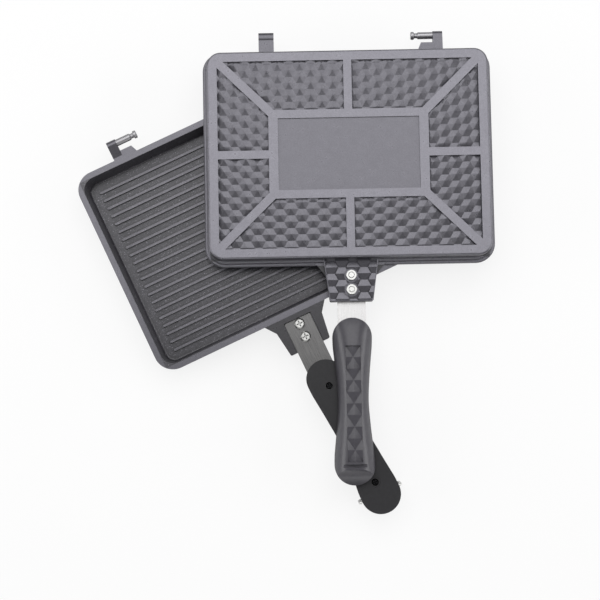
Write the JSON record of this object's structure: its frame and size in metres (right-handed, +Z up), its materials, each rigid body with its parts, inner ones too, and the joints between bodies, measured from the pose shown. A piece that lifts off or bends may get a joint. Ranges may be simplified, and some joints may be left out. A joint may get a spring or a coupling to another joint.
{
  "type": "stovetop sandwich toaster",
  "caption": "Pair of cast grill trays with handles that hook together along one edge and lock with a wire bail; shown unhooked, one laid on the other.",
  "frame": {"origin": "under the middle of the whole laid-out object, on the surface it rests on", "axes": "+Z up; +Y from the lower half's handle towards its hinge edge; +X along the lower half's hinge, towards its hook"},
  "size_m": [0.3572, 0.4058, 0.048],
  "materials": {
    "cast_body": "die-cast, dark grey non-stick coating",
    "hinge_pin": "turned steel",
    "handle_strap": "brushed stainless steel",
    "fastener": "zinc plated steel",
    "insert": "turned brass",
    "grip": "moulded phenolic, satin black",
    "bail_wire": "bright steel wire"
  },
  "bodies": {
    "lower_half": {"lower_pan": "cast_body", "lower_hinge_pin": "hinge_pin", "lower_handle_strap": "handle_strap", "lower_grip": "grip", "lower_rear_lug_screw": "fastener", "lower_front_lug_screw": "fastener", "lower_rear_lug_nut": "fastener", "lower_front_lug_nut": "fastener", "lower_rear_grip_screw": "fastener", "lower_front_grip_screw": "fastener", "lower_rear_grip_insert": "insert", "lower_front_grip_insert": "insert"},
    "latch_bail": {"latch_bail": "bail_wire"},
    "upper_axle": {"upper_hinge_pin": "hinge_pin"},
    "upper_half": {"upper_pan": "cast_body", "upper_handle_strap": "handle_strap", "upper_grip": "grip", "upper_rear_lug_screw": "fastener", "upper_front_lug_screw": "fastener", "upper_rear_lug_nut": "fastener", "upper_front_lug_nut": "fastener", "upper_rear_grip_screw": "fastener", "upper_front_grip_screw": "fastener", "upper_rear_grip_insert": "insert", "upper_front_grip_insert": "insert"}
  },
  "joints": [
    {"name": "latch_bail_turn", "type": "hinge", "parent": "lower_half", "child": "latch_bail", "pos_m": [-0.05864, -0.18638, 0.0207], "axis": [-1, 0, 0], "range_deg": [0, 180]},
    {"name": "upper_half_lift", "type": "slide", "parent": "lower_half", "child": "upper_axle", "axis": [0, 0, 1], "range_m": [0, 0.06]},
    {"name": "upper_half_swing", "type": "hinge", "parent": "upper_axle", "child": "upper_half", "pos_m": [0.07987, 0.16963, 0.024], "axis": [-0.9107, 0.4131, 0], "range_deg": [0, 180]}
  ]
}
